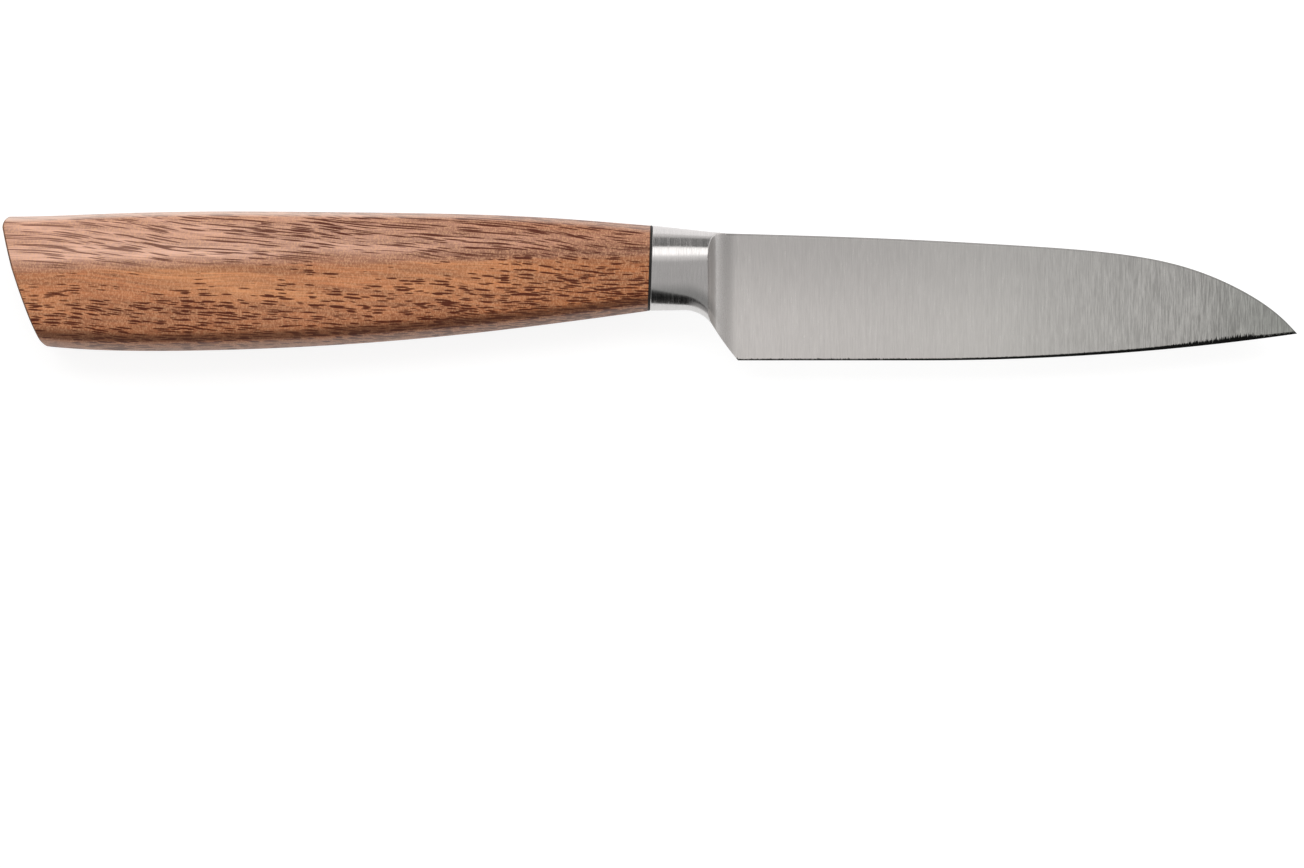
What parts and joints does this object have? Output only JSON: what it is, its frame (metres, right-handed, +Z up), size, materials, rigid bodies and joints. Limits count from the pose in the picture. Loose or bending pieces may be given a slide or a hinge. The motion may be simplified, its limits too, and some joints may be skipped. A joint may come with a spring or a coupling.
{
  "type": "paring knife",
  "caption": "Paring knife with a forged, flat-ground blade, a slim bolster and a faceted walnut handle with a slanted butt, for peeling and trimming.",
  "frame": {"origin": "on the ground under the middle of the knife's box; the knife lies on its side with the middle plane of the blade level", "axes": "+X from the handle's butt to the blade's tip, +Y from the cutting edge to the spine, +Z up through the thickness of the knife"},
  "size_m": [0.2086, 0.024, 0.0148],
  "materials": {
    "satin_steel": "satin, ground across the blade",
    "black_fibre": "matte",
    "walnut": "oiled, smooth",
    "cured_epoxy": "cured, dull"
  },
  "bodies": {
    "root": {"blade": "satin_steel", "spacer": "black_fibre", "handle": "walnut", "tang_adhesive": "cured_epoxy"}
  },
  "joints": []
}
